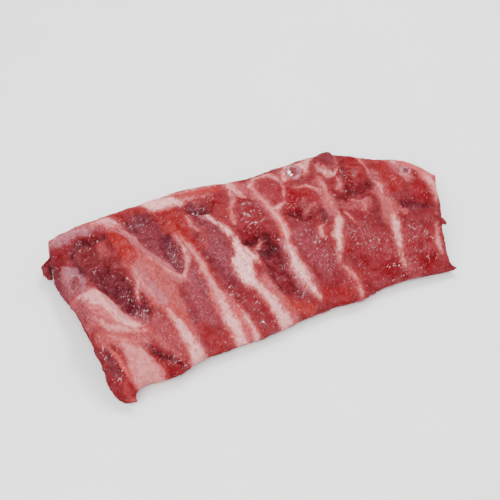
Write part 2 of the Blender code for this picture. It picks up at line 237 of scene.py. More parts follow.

# Flesh under the fat, as soft strokes from point to point: colour, strength, then x, y and half width;
# some strokes are painted shade in creases, folds and hollows, each marked where it stands
FLESH = (
    # The wide end: the chine edge, the slanting cut and rib 1
    (PINK, 0.8, ((-142, 46, 6), (-126, 50, 6), (-104, 54, 5), (-90, 58, 4))),
    ((208, 126, 126), 0.9,
     ((-143, 50, 2), (-120, 56, 3), (-100, 58, 4), (-84, 61, 3), (-66, 62, 3), (-48, 64, 2))),
    ((208, 146, 147), 0.9, ((-132, -10, 4), (-120, -22, 8), (-113, -36, 9), (-103, -47, 6))),
    ((200, 146, 148), 0.9, ((-91, 44, 4), (-84, 28, 4), (-79, 12, 5), (-72, -2, 6), (-60, -19, 5))),
    (LILAC, 0.6, ((-136, 42, 4), (-124, 46, 4), (-112, 46, 3))),
    (WINE, 0.9, ((-144, 34, 4), (-143, 14, 4), (-140, -4, 4))),
    ((166, 36, 42), 1.0, ((-139, 34, 4), (-137, 28, 4))),
    ((190, 140, 146), 0.85, ((-136, 20, 3), (-133, 8, 5), (-129, -8, 5))),
    ((176, 92, 98), 0.6, ((-137, 10, 1), (-136, -2, 1.5), (-134, -10, 1.5))),
    ((188, 146, 152), 0.8, ((-134, 18, 2.5), (-130, 12, 5), (-127, 2, 4))),
    (PINK, 0.8, ((-138, -12, 4), (-133, -30, 5), (-130, -52, 4))),
    ((170, 78, 76), 0.85, ((-130, -2, 2), (-133, -12, 2.5), (-134, -24, 3), (-131, -38, 3))),
    # painted shade in a small fold near the left edge
    ((140, 48, 58), 0.8, ((-130, -9, 0.8), (-129, -16, 1.4), (-127, -24, 0.8))),
    # The lower corner at the wide end
    ((170, 46, 52), 1.0, ((-129, -52, 5), (-124, -66, 8), (-121, -86, 8))),
    # painted shade in the crease at the lower corner
    (DARK, 0.7, ((-126, -64, 2.5), (-123, -76, 3.5))),
    ((196, 84, 86), 0.8, ((-119, -84, 2), (-117, -94, 2))),
    ((216, 134, 130), 0.8, ((-127, -57, 0.8), (-120, -66, 1.2), (-115, -78, 1.6), (-111, -89, 1.4))),
    (SALMON, 0.7, ((-127, -52, 4), (-112, -58, 5), (-98, -60, 4))),
    ((172, 44, 50), 1.0, ((-98, -70, 5), (-86, -78, 7), (-72, -80, 6))),
    ((186, 78, 82), 0.9, ((-88, -48, 6), (-82, -62, 8), (-76, -73, 5))),
    (SALMON, 0.6, ((-94, -54, 2), (-85, -65, 2), (-77, -75, 1))),
    # painted shade in the narrow slit across the lower corner
    ((104, 20, 28), 1.0, ((-100, -62, 0.8), (-94, -69, 1.6), (-87, -74.5, 1.6), (-76, -81, 0.8))),
    # The hollow between ribs 1 and 2
    ((156, 48, 54), 1.0, ((-119, 32, 8), (-117, 20, 10), (-114, 6, 9))),
    # painted shade along the hollow's left edge and, in the next stroke, its upper rim
    ((112, 26, 34), 0.9, ((-127, 30, 1.5), (-127, 18, 2), (-124, 4, 2))),
    ((110, 26, 34), 0.7, ((-127, 33, 2), (-114, 38, 1.8), (-100, 38.5, 1.8), (-98, 30, 1))),
    ((196, 104, 100), 0.8, ((-104, 34, 3), (-105, 24, 4), (-106, 14, 3))),
    ((136, 38, 48), 1.0, ((-114, -2, 8), (-106, -14, 9), (-99, -28, 9), (-92, -42, 6))),
    ((160, 50, 54), 0.8, ((-106, 8, 6), (-99, -2, 5))),
    # painted shade, deepest along the crease of the lower hollow
    ((118, 30, 40), 0.55, ((-110, -12, 3), (-102, -26, 4), (-94, -40, 4))),
    # Rib 2, and the hollow past it
    (SALMON, 0.8, ((-91, 4, 5), (-86, -6, 5))),
    ((200, 108, 100), 1.0, ((-84, 6, 7), (-78, -14, 9), (-73, -34, 10), (-68, -52, 7), (-65, -72, 6))),
    ((196, 60, 58), 1.0, ((-97, 40, 3), (-93.5, 27, 6.5), (-91, 12, 7), (-89, 2, 4))),
    (ORANGE, 0.7, ((-84, -36, 3), (-74, -44, 4), (-66, -54, 4), (-66, -64, 4))),
    (LILAC, 0.6, ((-88, -8, 3), (-84, -24, 4), (-78, -38, 3))),
    (LILAC, 0.5, ((-90, -8, 3), (-86, -22, 4), (-80, -36, 3))),
    (BRIGHT, 0.9, ((-94, 54.5, 1.6), (-78, 53, 2.2), (-62, 49, 1.6))),
    ((160, 60, 70), 1.0, ((-74, 42, 8), (-69, 28, 9), (-64, 12, 8))),
    ((138, 46, 58), 0.9, ((-88, 42, 4), (-80, 40, 5), (-68, 44, 5))),
    # painted shade in the deep end of the hollow past rib 2
    ((124, 34, 48), 0.9, ((-60, 16, 5), (-57, -2, 6), (-58, -13, 4))),
    # Rib 3, and the meat on either side of it
    ((188, 54, 54), 1.0, ((-50, 46, 6), (-48, 30, 10), (-46, 14, 7), (-42, 4, 4))),
    (ORANGE, 0.4, ((-56, 38, 3), (-53, 24, 4), (-50, 12, 4))),
    (PINK, 0.7, ((-60, -24, 4), (-54, -34, 5), (-50, -20, 4))),
    ((170, 66, 74), 0.9, ((-54, -30, 8), (-54, -46, 10), (-50, -66, 12))),
    ((136, 52, 62), 0.7, ((-50, -14, 3), (-46, -30, 4), (-43, -42, 3))),
    ((184, 52, 54), 0.8, ((-56, -60, 5), (-50, -72, 6), (-40, -70, 4))),
    ((150, 43, 53), 1.0, ((-30, 28, 7), (-30, 8, 11), (-27, -14, 12), (-23, -30, 8))),
    ((160, 68, 84), 0.5, ((-27, -6, 6), (-22, -24, 5))),
    (BRIGHT, 0.7, ((-42, 4, 3), (-36, -4, 2.5), (-33, 14, 3))),
    ((212, 128, 122), 0.9, ((-40, -40, 4), (-33, -56, 7), (-27, -74, 9))),
    (ORANGE, 0.7, ((-32, -44, 3), (-27, -58, 4), (-24, -70, 4))),
    ((176, 54, 60), 1.0, ((-19, -46, 3), (-12, -58, 6), (-9, -70, 8))),
    # painted shade in the small hollow near the chine edge
    ((126, 38, 50), 1.0, ((-32, 46, 4), (-25, 44, 5), (-22, 34, 3.5))),
    (LILAC, 0.6, ((-30, 40, 2), (-28, 30, 3), (-24, 26, 2))),
    # Rib 4, and the dark hollow past it
    ((182, 50, 56), 1.0, ((-13, 46, 6), (-12, 32, 6), (-10, 18, 4))),
    (ORANGE, 0.9, ((-46, 57.5, 2), (-28, 57, 3), (-8, 56, 3))),
    (PALE, 0.6, ((-50, 62, 1.5), (-28, 61, 1.5), (-4, 61, 1.5))),
    (PINK, 0.8, ((4, 58, 5), (10, 52, 5))),
    ((178, 50, 58), 1.0, ((3, 34, 9), (5, 18, 11), (4, 4, 10))),
    ((154, 38, 46), 1.0, ((8, -12, 9), (9, -30, 8), (12, -48, 7))),
    ((222, 140, 132), 0.8, ((23, 24, 2), (25.5, 8, 3.4), (26, -5, 3))),
    ((196, 120, 124), 0.8, ((23, -14, 4), (24, -30, 5), (28, -48, 6))),
    # painted shade: this stroke and the next darken the deep hollow past rib 4
    ((92, 16, 26), 0.9, ((-5, -8, 4), (3, -3, 5), (11, -2, 4))),
    ((84, 14, 24), 0.8, ((4, -12, 4), (12, -14, 4))),
    (SALMON, 0.9, ((-3, -40, 4), (1, -54, 6), (7, -64, 7))),
    (ORANGE, 0.7, ((8, -56, 4), (14, -62, 4), (24, -64, 4))),
    ((150, 44, 58), 0.7, ((18, -14, 3), (19, -34, 4), (22, -52, 5))),
    # Ribs 5 and 6, with the low knobs along the chine edge
    ((184, 70, 74), 1.0, ((24, 47, 8), (34, 45, 8), (31, 34, 8))),
    ((184, 34, 42), 1.0, ((42, 38, 5), (43, 24, 7), (42, 14, 6))),
    # painted shade in the crease below the low knobs
    ((124, 26, 36), 0.8, ((37, 9, 4), (48, 9, 5))),
    ((184, 42, 48), 1.0, ((56, 34, 6), (58, 22, 7))),
    ((170, 56, 66), 1.0, ((37, -4, 8), (42, -28, 11), (50, -40, 9))),
    ((186, 50, 54), 0.9, ((40, -57, 6), (52, -60, 6), (66, -52, 5))),
    (SALMON, 0.7, ((67, 26, 4), (67, 4, 4))),
    ((124, 56, 64), 0.6, ((62, 6, 3), (60, -2, 3))),
    # The high knobs at the narrow end
    ((160, 56, 66), 1.0, ((79, 62, 8), (81, 51, 8))),
    # painted shade down the left edge of the high knob
    ((122, 26, 36), 0.9, ((92, 50, 2), (90, 36, 3), (87, 24, 3))),
    ((182, 46, 52), 1.0, ((102, 52, 6), (99, 40, 9), (96, 28, 8))),
    ((170, 42, 48), 0.5, ((88, 24, 2), (96, 25, 3.5), (104, 24, 3))),
    # painted shadow in the fold under the high knobs
    ((104, 20, 28), 0.9, ((77, 15, 0.5), (86, 17.5, 1), (95, 18.5, 1), (107, 24, 0.5))),
    ((190, 80, 84), 0.8, ((80, 8, 7), (92, 4, 6))),
    ((188, 62, 64), 1.0, ((119, 47, 5), (120, 30, 8), (122, 14, 8))),
    ((182, 44, 52), 1.0, ((141, 12, 6), (138, 0, 7))),
    # The rim of the narrow end, and the last ribs
    ((200, 112, 112), 0.8, ((128, 42, 4), (134, 32, 6), (136, 20, 5))),
    ((192, 150, 156), 0.6, ((133, 39, 3), (137, 34, 2))),
    ((194, 148, 152), 0.6, ((133, 27, 3), (136, 22, 2))),
    ((214, 128, 126), 1.0, ((128, 46, 2), (142, 40, 5), (152, 26, 6), (153, 10, 5), (150, 0, 3))),
    # painted shadow in the fold across the narrow end
    ((128, 32, 42), 0.8, ((100, 5, 1.2), (106, 2, 2), (114, -3, 2.2), (128, -7, 3.5), (142, -10, 2))),
    ((176, 40, 48), 1.0, ((74, -30, 11), (92, -44, 13), (122, -42, 15))),
    ((144, 56, 62), 0.5, ((98, -6, 3), (98, -18, 3))),
    ((198, 112, 106), 0.7, ((110, 4, 3), (107, -6, 4), (103, -16, 3.5))),
    (SALMON, 0.8, ((106, 12, 4), (110, 2, 4), (118, -12, 3))),
)

# Fat and gristle, with soft uneven edges: how pale, then x, y and half width along each seam
FAT = (
    # Rib 1, and the lower corner at the wide end
    (0.6, ((-134, -9, 1), (-126, -15, 5), (-119, -24, 7.5), (-113, -35, 6), (-107, -44, 5), (-98, -49, 2))),
    (0.4, ((-128, -38, 1), (-119, -47, 3), (-106, -52, 3.4), (-95, -53, 1))),
    (0.35, ((-129, -24, 1), (-124, -36, 2.4), (-117, -42, 1.6))),
    (0.3, ((-122, -52, 1), (-112, -58, 2.4), (-102, -60, 1))),
    (0.34, ((-113, -60, 2), (-106, -70, 8), (-101, -86, 10.5))),
    # Ribs 2 and 3
    (0.4, ((-98, 48, 2.4), (-89, 42, 1.4), (-83, 26, 0.8), (-80, 14, 0.8), (-74, 0, 1.6), (-66, -12, 2.6),
           (-58, -21, 2.4))),
    (0.6, ((-53, 16, 0.9), (-50.5, 4, 1.3), (-51, -10, 1.6), (-57, -20, 2))),
    (0.65, ((-76, -44, 1), (-71, -57, 3), (-67, -68, 4.6), (-65, -79, 6.5))),
    (0.3, ((-90, -6, 1.6), (-87, -22, 2), (-81, -36, 1))),
    (0.6, ((-90, -12, 1), (-92, -24, 1), (-93, -31, 0.6))),
    (0.4, ((-50, 12, 0.8), (-46, 0, 1.8), (-43, -14, 2), (-41, -28, 2.4), (-38, -42, 3.6))),
    (0.75, ((-38, -46, 3.2), (-36, -58, 4), (-33, -68, 4.4), (-31, -77, 5))),
    (0.7, ((-27, -52, 1.2), (-22, -66, 2.4), (-20, -75, 3.4))),
    # The chine edge, from the wide end to the middle
    (0.5, ((-143, 49, 1), (-124, 55, 2), (-104, 59, 2.4), (-86, 60.5, 3), (-72, 61, 4), (-64, 62, 4))),
    (0.6, ((-106, 51, 2.5), (-96, 50, 3.5), (-90, 47, 2))),
    (0.85, ((-70, 61, 2.5), (-58, 56, 6), (-47, 53, 6), (-38, 51, 3))),
    (0.6, ((-39, 34, 0.9), (-38, 22, 1.2), (-35, 14, 0.7))),
    (0.6, ((-50, 61, 1.4), (-30, 60.5, 1), (-8, 60, 1.2))),
    (0.5, ((-48, 54.5, 1.4), (-30, 53.5, 0.9), (-16, 53, 0.7))),
    # Rib 4, with the whitest patch
    (1, ((-25, 33, 1), (-21, 22, 1.8), (-16, 12, 2), (-13, 0, 2), (-12, -10, 3), (-13, -20, 7),
         (-14, -31, 6.5), (-10, -40, 3))),
    (0.8, ((-8, -14, 2.4), (-4, -22, 1.8), (-1, -26, 0.6))),
    (0.5, ((1, 49, 2.4), (0, 40, 1.6), (-5, 30, 1.2), (-8, 15, 1))),
    (0.5, ((0, 61, 3), (4, 52, 3), (9, 42, 1.4))),
    (0.5, ((-2, -24, 0.8), (-1, -14, 0.8), (2, -7, 1), (7, -3, 0.6))),
    (0.75, ((-9, -38, 2.6), (-6, -46, 3.4), (-1, -58, 4), (5, -73, 5))),
    # Rib 5, and the seams round the knobs above it
    (0.4, ((18, 54, 1.2), (17, 46, 1.4), (20, 34, 1.6), (23, 24, 2.4))),
    (0.6, ((23, 24, 2), (25, 8, 2.8), (26, -5, 2.6), (24, -16, 2))),
    (0.85, ((24, -16, 2), (24, -30, 3.4), (27, -44, 4), (33, -58, 2))),
    (0.7, ((17, 50, 1.6), (22, 56, 1.8), (32, 57.5, 2), (40, 53, 1.6), (42, 46, 1.2), (39, 34, 1),
           (35, 24, 1.2), (28, 19, 2.4))),
    (0.6, ((45, 50, 2.5), (50, 61, 3), (61, 58, 4))),
    (0.6, ((49, 38, 0.8), (58, 36, 1.2), (64, 29, 1))),
    (0.5, ((48, 12, 0.9), (56, 14, 0.7))),
    # Ribs 6 and 7, and the seams between the high knobs
    (0.35, ((70, 42, 1.2), (70, 28, 1.4), (68, 14, 0.8), (66, 4, 0.8))),
    (0.75, ((70, -1, 1.5), (66, -10, 3.4), (62, -20, 3.8), (60, -29, 1.6), (57, -38, 0.7))),
    (0.4, ((58, -42, 0.6), (61, -49, 1.7), (63, -56, 0.8), (65, -63, 1.8))),
    (0.5, ((54, -6, 1.8), (52, -15, 1))),
    (0.75, ((72, 56, 0.7), (73, 48, 1.4), (77, 43, 1.8), (83, 42, 1.5), (87, 46, 0.9))),
    (0.35, ((87, 46, 0.8), (90, 57, 0.6))),
    (0.5, ((70, 64, 3), (66, 61, 4), (63, 52, 2))),
    (0.5, ((84, 38, 0.8), (84, 31, 1.1), (80, 24, 0.9))),
    (0.35, ((107, 56, 0.8), (109, 42, 1.3), (108, 32, 1.4))),
    (0.5, ((108, 28, 0.6), (111, 20, 2.2), (110, 12, 1.4), (108, 5, 0.4))),
    (0.6, ((88, 14, 1), (92, 8, 1.7), (92, -2, 1))),
    (0.5, ((76, -1, 1), (80, -9, 0.8))),
    (0.4, ((112, 0, 0.3), (111, -6, 0.7), (109, -12, 1.2))),
    (0.8, ((109, -12, 1.2), (107.5, -20, 3), (106, -30, 2.8), (104, -40, 1.4), (102.5, -50, 0.3))),
    # The narrow end
    (0.5, ((114, 53, 1), (127, 47, 2), (139, 43, 3), (149, 32, 2.5), (157, 21, 2))),
    (0.6, ((150, 22, 2), (153, 10, 3.4), (150, -2, 1.6), (147, -10, 0.7))),
    (0.5, ((138, -28, 0.9), (134, -38, 1.6), (134, -48, 1))),
    (0.7, ((132, 40, 2.6), (134, 36, 1.6))),
    (0.6, ((134, 27, 2.4), (137, 22, 1.4))),
)

# Thin whitish film over the flesh, in streaks: strength, then x, y and half width
FILM = (
    (0.9, ((-140, 43, 4), (-124, 48, 6), (-106, 50, 5))),
    (0.6, ((-136, 12, 5), (-134, -12, 4), (-130, -30, 4))),
    (0.9, ((-126, -36, 6), (-114, -45, 9), (-96, -46, 6))),
    (0.7, ((-118, -54, 5), (-108, -64, 6), (-96, -60, 4))),
    (0.6, ((-88, -6, 4), (-84, -24, 5), (-78, -40, 4))),
    (0.45, ((-84, 2, 8), (-76, -20, 9), (-70, -44, 8), (-66, -66, 7))),
    (0.5, ((-98, 46, 4), (-84, 30, 5), (-76, 4, 5), (-64, -14, 6))),
    (0.4, ((-56, 10, 5), (-52, -24, 7), (-48, -50, 8))),
    (0.35, ((-86, -52, 6), (-80, -66, 7))),
    (0.9, ((-36, -44, 5), (-30, -60, 8), (-27, -74, 8))),
    (0.35, ((-30, 20, 8), (-26, -10, 9), (-22, -28, 6))),
    (0.5, ((-60, 58, 4), (-44, 54, 5), (-30, 50, 4), (-16, 51, 3))),
    (0.6, ((2, 58, 6), (8, 46, 4))),
    (0.8, ((14, 50, 4), (20, 34, 4), (25, 14, 5))),
    (0.6, ((-4, -40, 5), (2, -54, 6), (8, -68, 6))),
    (0.6, ((22, -14, 3), (22, -34, 4), (27, -50, 5))),
    (0.35, ((36, -10, 7), (44, -34, 9))),
    (0.8, ((48, 54, 6), (58, 58, 5))),
    (0.8, ((66, 34, 5), (68, 6, 5))),
    (0.5, ((74, 10, 5), (92, 6, 6))),
    (0.8, ((110, 34, 4), (111, 8, 5), (108, -10, 5))),
    (0.8, ((124, 48, 4), (142, 42, 6), (153, 26, 6), (150, 4, 5))),
    (0.5, ((134, 34, 6), (136, 22, 5))),
    (0.3, ((70, -20, 9), (90, -36, 9), (120, -36, 10))),
    (0.5, ((104, -50, 4), (110, -56, 4))),
)

# Where the surface is wettest, breaks the light into sparks and gets the most painted glints in its colour:
# strength, then x, y and half width
WET = (
    (1.0, ((-138, 44, 4), (-124, 47, 5), (-110, 45, 4))),
    (0.5, ((-121, 34, 5), (-110, 38, 4))),
    (0.6, ((-114, 2, 6), (-106, -8, 7), (-96, -24, 7), (-90, -40, 5))),
    (0.9, ((-84, 42, 6), (-70, 40, 7))),
    (0.8, ((-58, 8, 5), (-56, -10, 5))),
    (0.9, ((-30, 46, 6), (-20, 44, 5))),
    (0.9, ((8, 30, 6), (10, 14, 7), (4, 4, 6))),
    (1.0, ((20, -14, 4), (20, -36, 5), (24, -54, 6))),
    (0.9, ((38, 20, 5), (44, 16, 5))),
    (0.7, ((46, -10, 7), (50, -34, 8))),
    (0.9, ((88, 36, 5), (86, 26, 5))),
    (0.8, ((66, 28, 4), (70, 20, 4))),
    (0.8, ((110, 30, 4), (108, 20, 4))),
    (0.8, ((76, -14, 8), (84, -30, 8))),
    (0.9, ((104, -48, 6), (96, -54, 6))),
    (0.6, ((120, -30, 9), (128, -48, 8))),
    (0.9, ((-126, -60, 4), (-122, -76, 5))),
    (0.8, ((-90, -74, 5), (-76, -78, 5))),
    (0.8, ((-12, -56, 6), (-8, -68, 6))),
    (0.8, ((-28, -38, 5), (-24, -44, 4))),
)


def through(knots, x):
    """A smooth curve y(x) through the knots."""
    kx, ky = np.array(knots, float).T
    slope = np.gradient(ky, kx)
    i = np.clip(np.searchsorted(kx, x) - 1, 0, len(kx) - 2)
    gap = kx[i + 1] - kx[i]
    q = (x - kx[i]) / gap
    return (
        (2 * q**3 - 3 * q**2 + 1) * ky[i]
        + (q**3 - 2 * q**2 + q) * gap * slope[i]
        + (3 * q**2 - 2 * q**3) * ky[i + 1]
        + (q**3 - q**2) * gap * slope[i + 1]
    )


def rising(x, low, high):
    """0 up to low, 1 from high, and smooth between them."""
    q = np.clip((x - low) / (high - low), 0, 1)
    return q * q * (3 - 2 * q)


def edge_points(edge, s):
    """The point of a long edge at that share of its length."""
    x = edge[0][0] + (edge[-1][0] - edge[0][0]) * s
    return x, through(edge, x)


def plan(s, t):
    """Plan position at share s along the rack and share t across it, from chine edge to lower edge."""
    chine_x, chine_y = edge_points(CHINE_EDGE, s)
    lower_x, lower_y = edge_points(LOWER_EDGE, s)
    bow = (1 - s) * through(LEFT_BOW, t) + s * through(RIGHT_BOW, t)
    return chine_x * (1 - t) + lower_x * t + bow, chine_y * (1 - t) + lower_y * t


def shares_at(x, y):
    """The shares s and t of a plan position: the inverse of plan."""
    s, t = 0.5, 0.5
    for _ in range(SEARCH_ROUNDS):
        there_x, there_y = plan(np.float64(s), np.float64(t))
        right_x, _ = plan(np.float64(1), np.float64(t))
        left_x, _ = plan(np.float64(0), np.float64(t))
        chine_y = edge_points(CHINE_EDGE, np.float64(s))[1]
        lower_y = edge_points(LOWER_EDGE, np.float64(s))[1]
        s = min(max(s + (x - there_x) / (right_x - left_x), 0), 1)
        t = min(max(t + (y - there_y) / (lower_y - chine_y), 0), 1)
    return s, t


def arch(s, t):
    """Height of the under side between its two feet."""
    q = np.clip((t - FOOT) / (TOE - FOOT), 0, 1)
    return (ARCH_LEFT + (ARCH_RIGHT - ARCH_LEFT) * s) * (1 - (2 * q - 1) ** 2)


def thickness(s, t):
    return through(THICKNESS, t) * (1 - THINNER_RIGHT * s)


def spans(s, t):
    """Rough length and width of the slab, in millimetres, at those shares."""
    return LENGTH - LENGTH_LESS * t, WIDTH - WIDTH_LESS * s


def rim_distances(s, t):
    """Rough distances in millimetres from the two ends and from the two long edges."""
    length, width = spans(s, t)
    return np.minimum(s, 1 - s) * length, np.minimum(t, 1 - t) * width


def rim_fall(s, t):
    """How far the upper face has fallen near the rim, where it is rounded off."""
    length, width = spans(s, t)
    end = np.clip(1 - np.minimum(s, 1 - s) * length / RIM_END, 0, 1)
    side = np.clip(1 - t * width / RIM_CHINE, 0, 1) + np.clip(1 - (1 - t) * width / RIM_LOWER, 0, 1)
    return RIM_DEPTH * (1 - np.sqrt(1 - np.minimum(end**2 + side**2, 1)))


def bevel_fall(s, t):
    """How far the slanting cut at the left end has fallen."""
    opened = rising(t, 0.06, 0.2) * (1 - rising(t, 0.4, 0.62))
    slant = np.clip(1 - s * spans(s, t)[0] / BEVEL_WIDE, 0, 1)
    return BEVEL_DEEP * opened * slant**1.2


def rib_lines():
    """The two plan ends of each rib's middle line, from the lower edge to the chine edge."""
    low_x, gap = float(FIRST_RIB_X), WIDEST_GAP
    lines = []
    for top_x in RIB_TOP_X:
        low_y = float(through(LOWER_EDGE, np.float64(low_x)))
        top_y = float(through(CHINE_EDGE, np.float64(top_x)))
        lines.append(((low_x, low_y), (top_x, top_y)))
        low_x, gap = low_x + gap, gap - GAP_STEP
    lines[0] = (lines[0][0], (RIB_TOP_X[0], FIRST_RIB_TOP_Y))
    return lines


def line_distance(x, y, line):
    """Distance from a plan line, which counts as endless."""
    (ax, ay), (bx, by) = line
    long = math.hypot(bx - ax, by - ay)
    return np.abs((x - ax) * (by - ay) - (y - ay) * (bx - ax)) / long


def dome(x, y, pad):
    """Height of an oval pad with steep sides, or of a hollow where its height is negative."""
    px, py, half_long, half_wide, turn, high = pad
    c, s = math.cos(math.radians(turn)), math.sin(math.radians(turn))
    along, across = (x - px) * c + (y - py) * s, (y - py) * c - (x - px) * s
    r2 = (along / half_long) ** 2 + (across / half_wide) ** 2
    return high * np.clip(1 - r2, 0, 1) ** 0.75


def top_relief(x, y, t):
    """Height of the ridges over the ribs, the muscles and the hollows."""
    ridges = [np.exp(-((line_distance(x, y, line) / RIDGE_WIDE) ** 2)) for line in rib_lines()]
    relief = RIDGE_HIGH * np.max(ridges, axis=0) * rising(t, 0.2, 0.5)
    for pad in MUSCLES + HOLLOWS:
        relief = relief + dome(x, y, pad)
    return relief


def top_height(s, t):
    x, y = plan(s, t)
    fall = np.maximum(rim_fall(s, t), bevel_fall(s, t))
    inside = np.minimum(*rim_distances(s, t))
    return arch(s, t) + thickness(s, t) + top_relief(x, y, t) * rising(inside, -4, 7) - fall


def under_height(s, t):
    """The under side: ribs stand down from the arch, and its feet are flat."""
    x, y = plan(s, t)
    ribs = np.max([np.exp(-((line_distance(x, y, line) / KEEL_WIDE) ** 2)) for line in rib_lines()], axis=0)
    high = arch(s, t)
    return high - KEEL_DEEP * (ribs - 0.5) * rising(high, 0, 5)


def crowded(count):
    """Shares from 0 to 1 that stand closer near both ends."""
    q = np.linspace(0, 1, count + 1)
    return q - CROWDING * np.sin(2 * math.pi * q) / (2 * math.pi)


def top_at(i, j):
    """Number of the upper point in column i and row j."""
    return i * (ROWS + 1) + j


def under_at(i, j):
    """Number of the under point below that upper point: the lower grid is half as fine."""
    return (COLUMNS + 1) * (ROWS + 1) + (i // 2) * (ROWS // 2 + 1) + j // 2


def grid_faces():
    faces = []
    for i in range(COLUMNS):
        for j in range(ROWS):
            faces.append((top_at(i, j), top_at(i, j + 1), top_at(i + 1, j + 1), top_at(i + 1, j)))
    for i in range(0, COLUMNS, 2):
        for j in range(0, ROWS, 2):
            faces.append((under_at(i, j), under_at(i + 2, j), under_at(i + 2, j + 2), under_at(i, j + 2)))
    return faces


def rim_loop():
    """Columns and rows once round the rim, anticlockwise from above."""
    loop = [(0, j) for j in range(ROWS)] + [(i, ROWS) for i in range(COLUMNS)]
    return loop + [(COLUMNS, j) for j in range(ROWS, 0, -1)] + [(i, 0) for i in range(COLUMNS, 0, -1)]


def wall_faces(rings, loop):
    """Faces down the wall, with a last row that meets the coarser lower rim."""
    faces = []
    count = len(loop)
    for high, low in zip(rings, rings[1:]):
        for k in range(count):
            after = (k + 1) % count
            faces.append((high[k], low[k], low[after], high[after]))
    last = rings[-1]
    for k in range(0, count, 2):
        a, b = under_at(*loop[k]), under_at(*loop[(k + 2) % count])
        middle, after = last[k + 1], last[(k + 2) % count]
        faces += [(last[k], a, middle), (a, b, middle), (middle, b, after)]
    return faces


def lattice(ix, iy, iz, seed):
    """A fixed pseudo-random value from -1 to 1 at each whole-number point."""
    h = (ix * 374761393 + iy * 668265263 + iz * 2147483647 + seed * 1274126177) & 0xFFFFFFFF
    h = ((h ^ (h >> 13)) * 1103515245) & 0xFFFFFFFF
    h = ((h ^ (h >> 16)) * 2654435761) & 0xFFFFFFFF
    return ((h ^ (h >> 15)) & 0xFFFFFF) / 0x7FFFFF - 1


def noise(x, y, z, size, seed=0):
    """Smooth noise from about -1 to 1, with features about that many millimetres apart."""
    x, y, z = np.asarray(x / size), np.asarray(y / size), np.asarray(z / size)
    ix, iy, iz = (np.floor(v).astype(np.int64) for v in (x, y, z))
    fx, fy, fz = (v - np.floor(v) for v in (x, y, z))
    fx, fy, fz = (f * f * f * (f * (6 * f - 15) + 10) for f in (fx, fy, fz))
    total = 0
    for dx in (0, 1):
        for dy in (0, 1):
            for dz in (0, 1):
                share = (fx if dx else 1 - fx) * (fy if dy else 1 - fy) * (fz if dz else 1 - fz)
                total = total + share * lattice(ix + dx, iy + dy, iz + dz, seed)
    return total


def fractal(x, y, z, size, seed=0, octaves=3):
    total, weight = 0, 1.0
    for k in range(octaves):
        total = total + weight * noise(x, y, z, size / 2**k, seed + 17 * k)
        weight *= FINER
    return total


def linear(colour):
    """Base colour that the studio light and the render's tone curve show as that screen colour."""
    screen = np.array(colour, float)
    screen = screen + TONE_MIX_OUT * (screen.mean() - screen)
    light = 2.0 ** np.interp(screen, TONE_SHOWN, TONE_LIGHT)
    light = (light - TONE_MIX_IN * light.mean()) / (1 - TONE_MIX_IN)
    light = light * (1 + (np.array(TONE_TINT) - 1) * math.sqrt(light.min() / light.max()))
    return np.clip(light / EXPOSURE, DARKEST, PALEST)


def stroke_depth(x, y, points):
    """How far inside a stroke of changing width each plan point lies; below 0 outside it."""
    depth = np.full(np.shape(x), -1e3)
    for (ax, ay, aw), (bx, by, bw) in zip(points, points[1:]):
        dx, dy = bx - ax, by - ay
        q = np.clip(((x - ax) * dx + (y - ay) * dy) / (dx * dx + dy * dy), 0, 1)
        gone = np.hypot(x - ax - q * dx, y - ay - q * dy)
        depth = np.maximum(depth, aw + (bw - aw) * q - gone)
    return depth


def flesh_colour(x, y, soft=1.8):
    """The flesh strokes laid over each other in turn, with edges that wander along the fibres."""
    across, along, _ = np.moveaxis(grain_at(x, y, x * 0), -1, 0)
    wx = x + 1.1 * fractal(x, y, 0, 9, 3) + 0.6 * noise(x, y, 0, 2.5, 5)
    wy = y + 1.4 * fractal(x, y, 0, 11, 4) + 1.3 * fractal(across, along, 0, 1.6, 6, 2)
    shade = fractal(x, y, 0, 26, 8)[..., None]
    colour = linear(RED) * (1 + 0.12 * shade)
    for tint, strength, points in FLESH:
        share = strength * rising(stroke_depth(wx, wy, points), -soft, soft)
        colour = colour + (linear(tint) - colour) * share[..., None]
    return colour


def fat_depth(x, y):
    """How deep inside the fat each plan point lies, and how pale the fat is there."""
    wx = x + 0.5 * fractal(x, y, 0, 9, 11) + 0.25 * noise(x, y, 0, 1.8, 12)
    wy = y + 0.8 * fractal(x, y, 0, 12, 13) + 0.3 * noise(x, y, 0, 2.2, 14)
    depths = np.stack([stroke_depth(wx, wy, points) for _, points in FAT])
    pale = np.array([share for share, _ in FAT])[depths.argmax(0)]
    return depths.max(0) + 0.9 * fractal(x, y, 0, 7, 15), pale


def soft_layers(x, y, layers, soft):
    """The strongest of some soft strokes at each plan point."""
    most = np.zeros(np.shape(x))
    for strength, points in layers:
        most = np.maximum(most, strength * rising(stroke_depth(x, y, points), -soft, soft))
    return most


def nearest_rib(x, y):
    return np.min([line_distance(x, y, line) for line in rib_lines()], axis=0)


def blend(first, second, share):
    return first + (second - first) * share[..., None]


def under_colour(x, y):
    """The inner side: grey-lilac bone shows through the film, with pink edges, and dark meat between."""
    wx = x + 1.2 * fractal(x, y, 0, 8, 71)
    rib = nearest_rib(wx, y)
    tone = fractal(x, y, 0, 15, 72)
    colour = linear(UNDER_MEAT) * np.ones((len(x), 1))
    colour = blend(colour, linear(UNDER_DARK), rising(tone, -0.4, 0.6))
    colour = blend(colour, linear(UNDER_PINK), 0.8 * (1 - rising(np.abs(rib - 7), 1.5, 4)))
    return blend(colour, linear(UNDER_BONE), 0.85 * (1 - rising(rib, 3.5, 6)))


